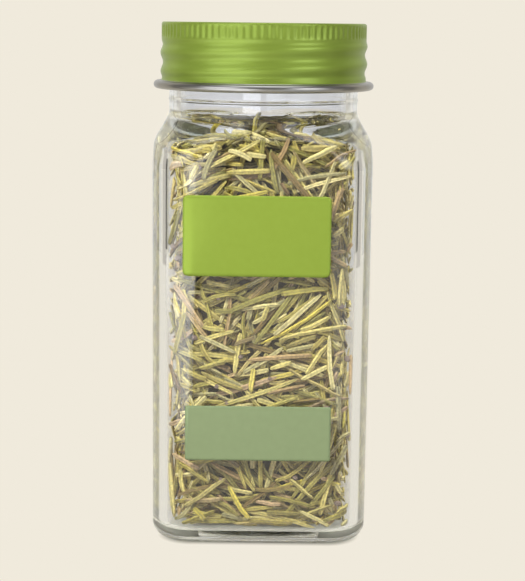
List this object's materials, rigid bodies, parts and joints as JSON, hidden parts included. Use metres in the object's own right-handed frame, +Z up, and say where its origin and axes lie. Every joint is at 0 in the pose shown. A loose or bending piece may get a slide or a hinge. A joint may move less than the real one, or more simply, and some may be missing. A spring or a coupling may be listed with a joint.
{
  "type": "jar of dried rosemary",
  "caption": "Square clear glass spice jar packed with dried rosemary leaves, with a round green screw cap and two bare colour labels on its front.",
  "frame": {"origin": "on the jar's axis, in the plane of its foot ring", "axes": "+Z up along the axis through the cap, -Y out of the labelled face, +X to the right of the labels"},
  "size_m": [0.0478, 0.0478, 0.1104],
  "materials": {
    "clear_glass": "smooth pressed glass, fire polished",
    "green_lacquered_steel": "glossy green lacquer on thin steel, bare along the curled hem",
    "liner_board": "coated board",
    "dried_leaf": "matt dried leaf, khaki to grey green",
    "lime_label": "printed film, bare",
    "sage_label": "printed film, bare"
  },
  "bodies": {
    "jar": {"glass_jar": "clear_glass", "rosemary_leaves": "dried_leaf", "upper_label": "lime_label", "lower_label": "sage_label"},
    "liner": {"cap_liner": "liner_board"},
    "cap": {"cap": "green_lacquered_steel"}
  },
  "joints": [
    {"name": "cap_rise", "type": "slide", "parent": "jar", "child": "liner", "axis": [0, 0, 1], "range_m": [0, 0.00396]},
    {"name": "cap_turn", "type": "hinge", "parent": "liner", "child": "cap", "pos_m": [0, 0, 0.104], "axis": [0, 0, 1], "range_deg": [0, 360]}
  ],
  "couplings": [
    {"joint": "cap_rise", "follows": "cap_turn", "m_per_rad": 0.00062866}
  ]
}
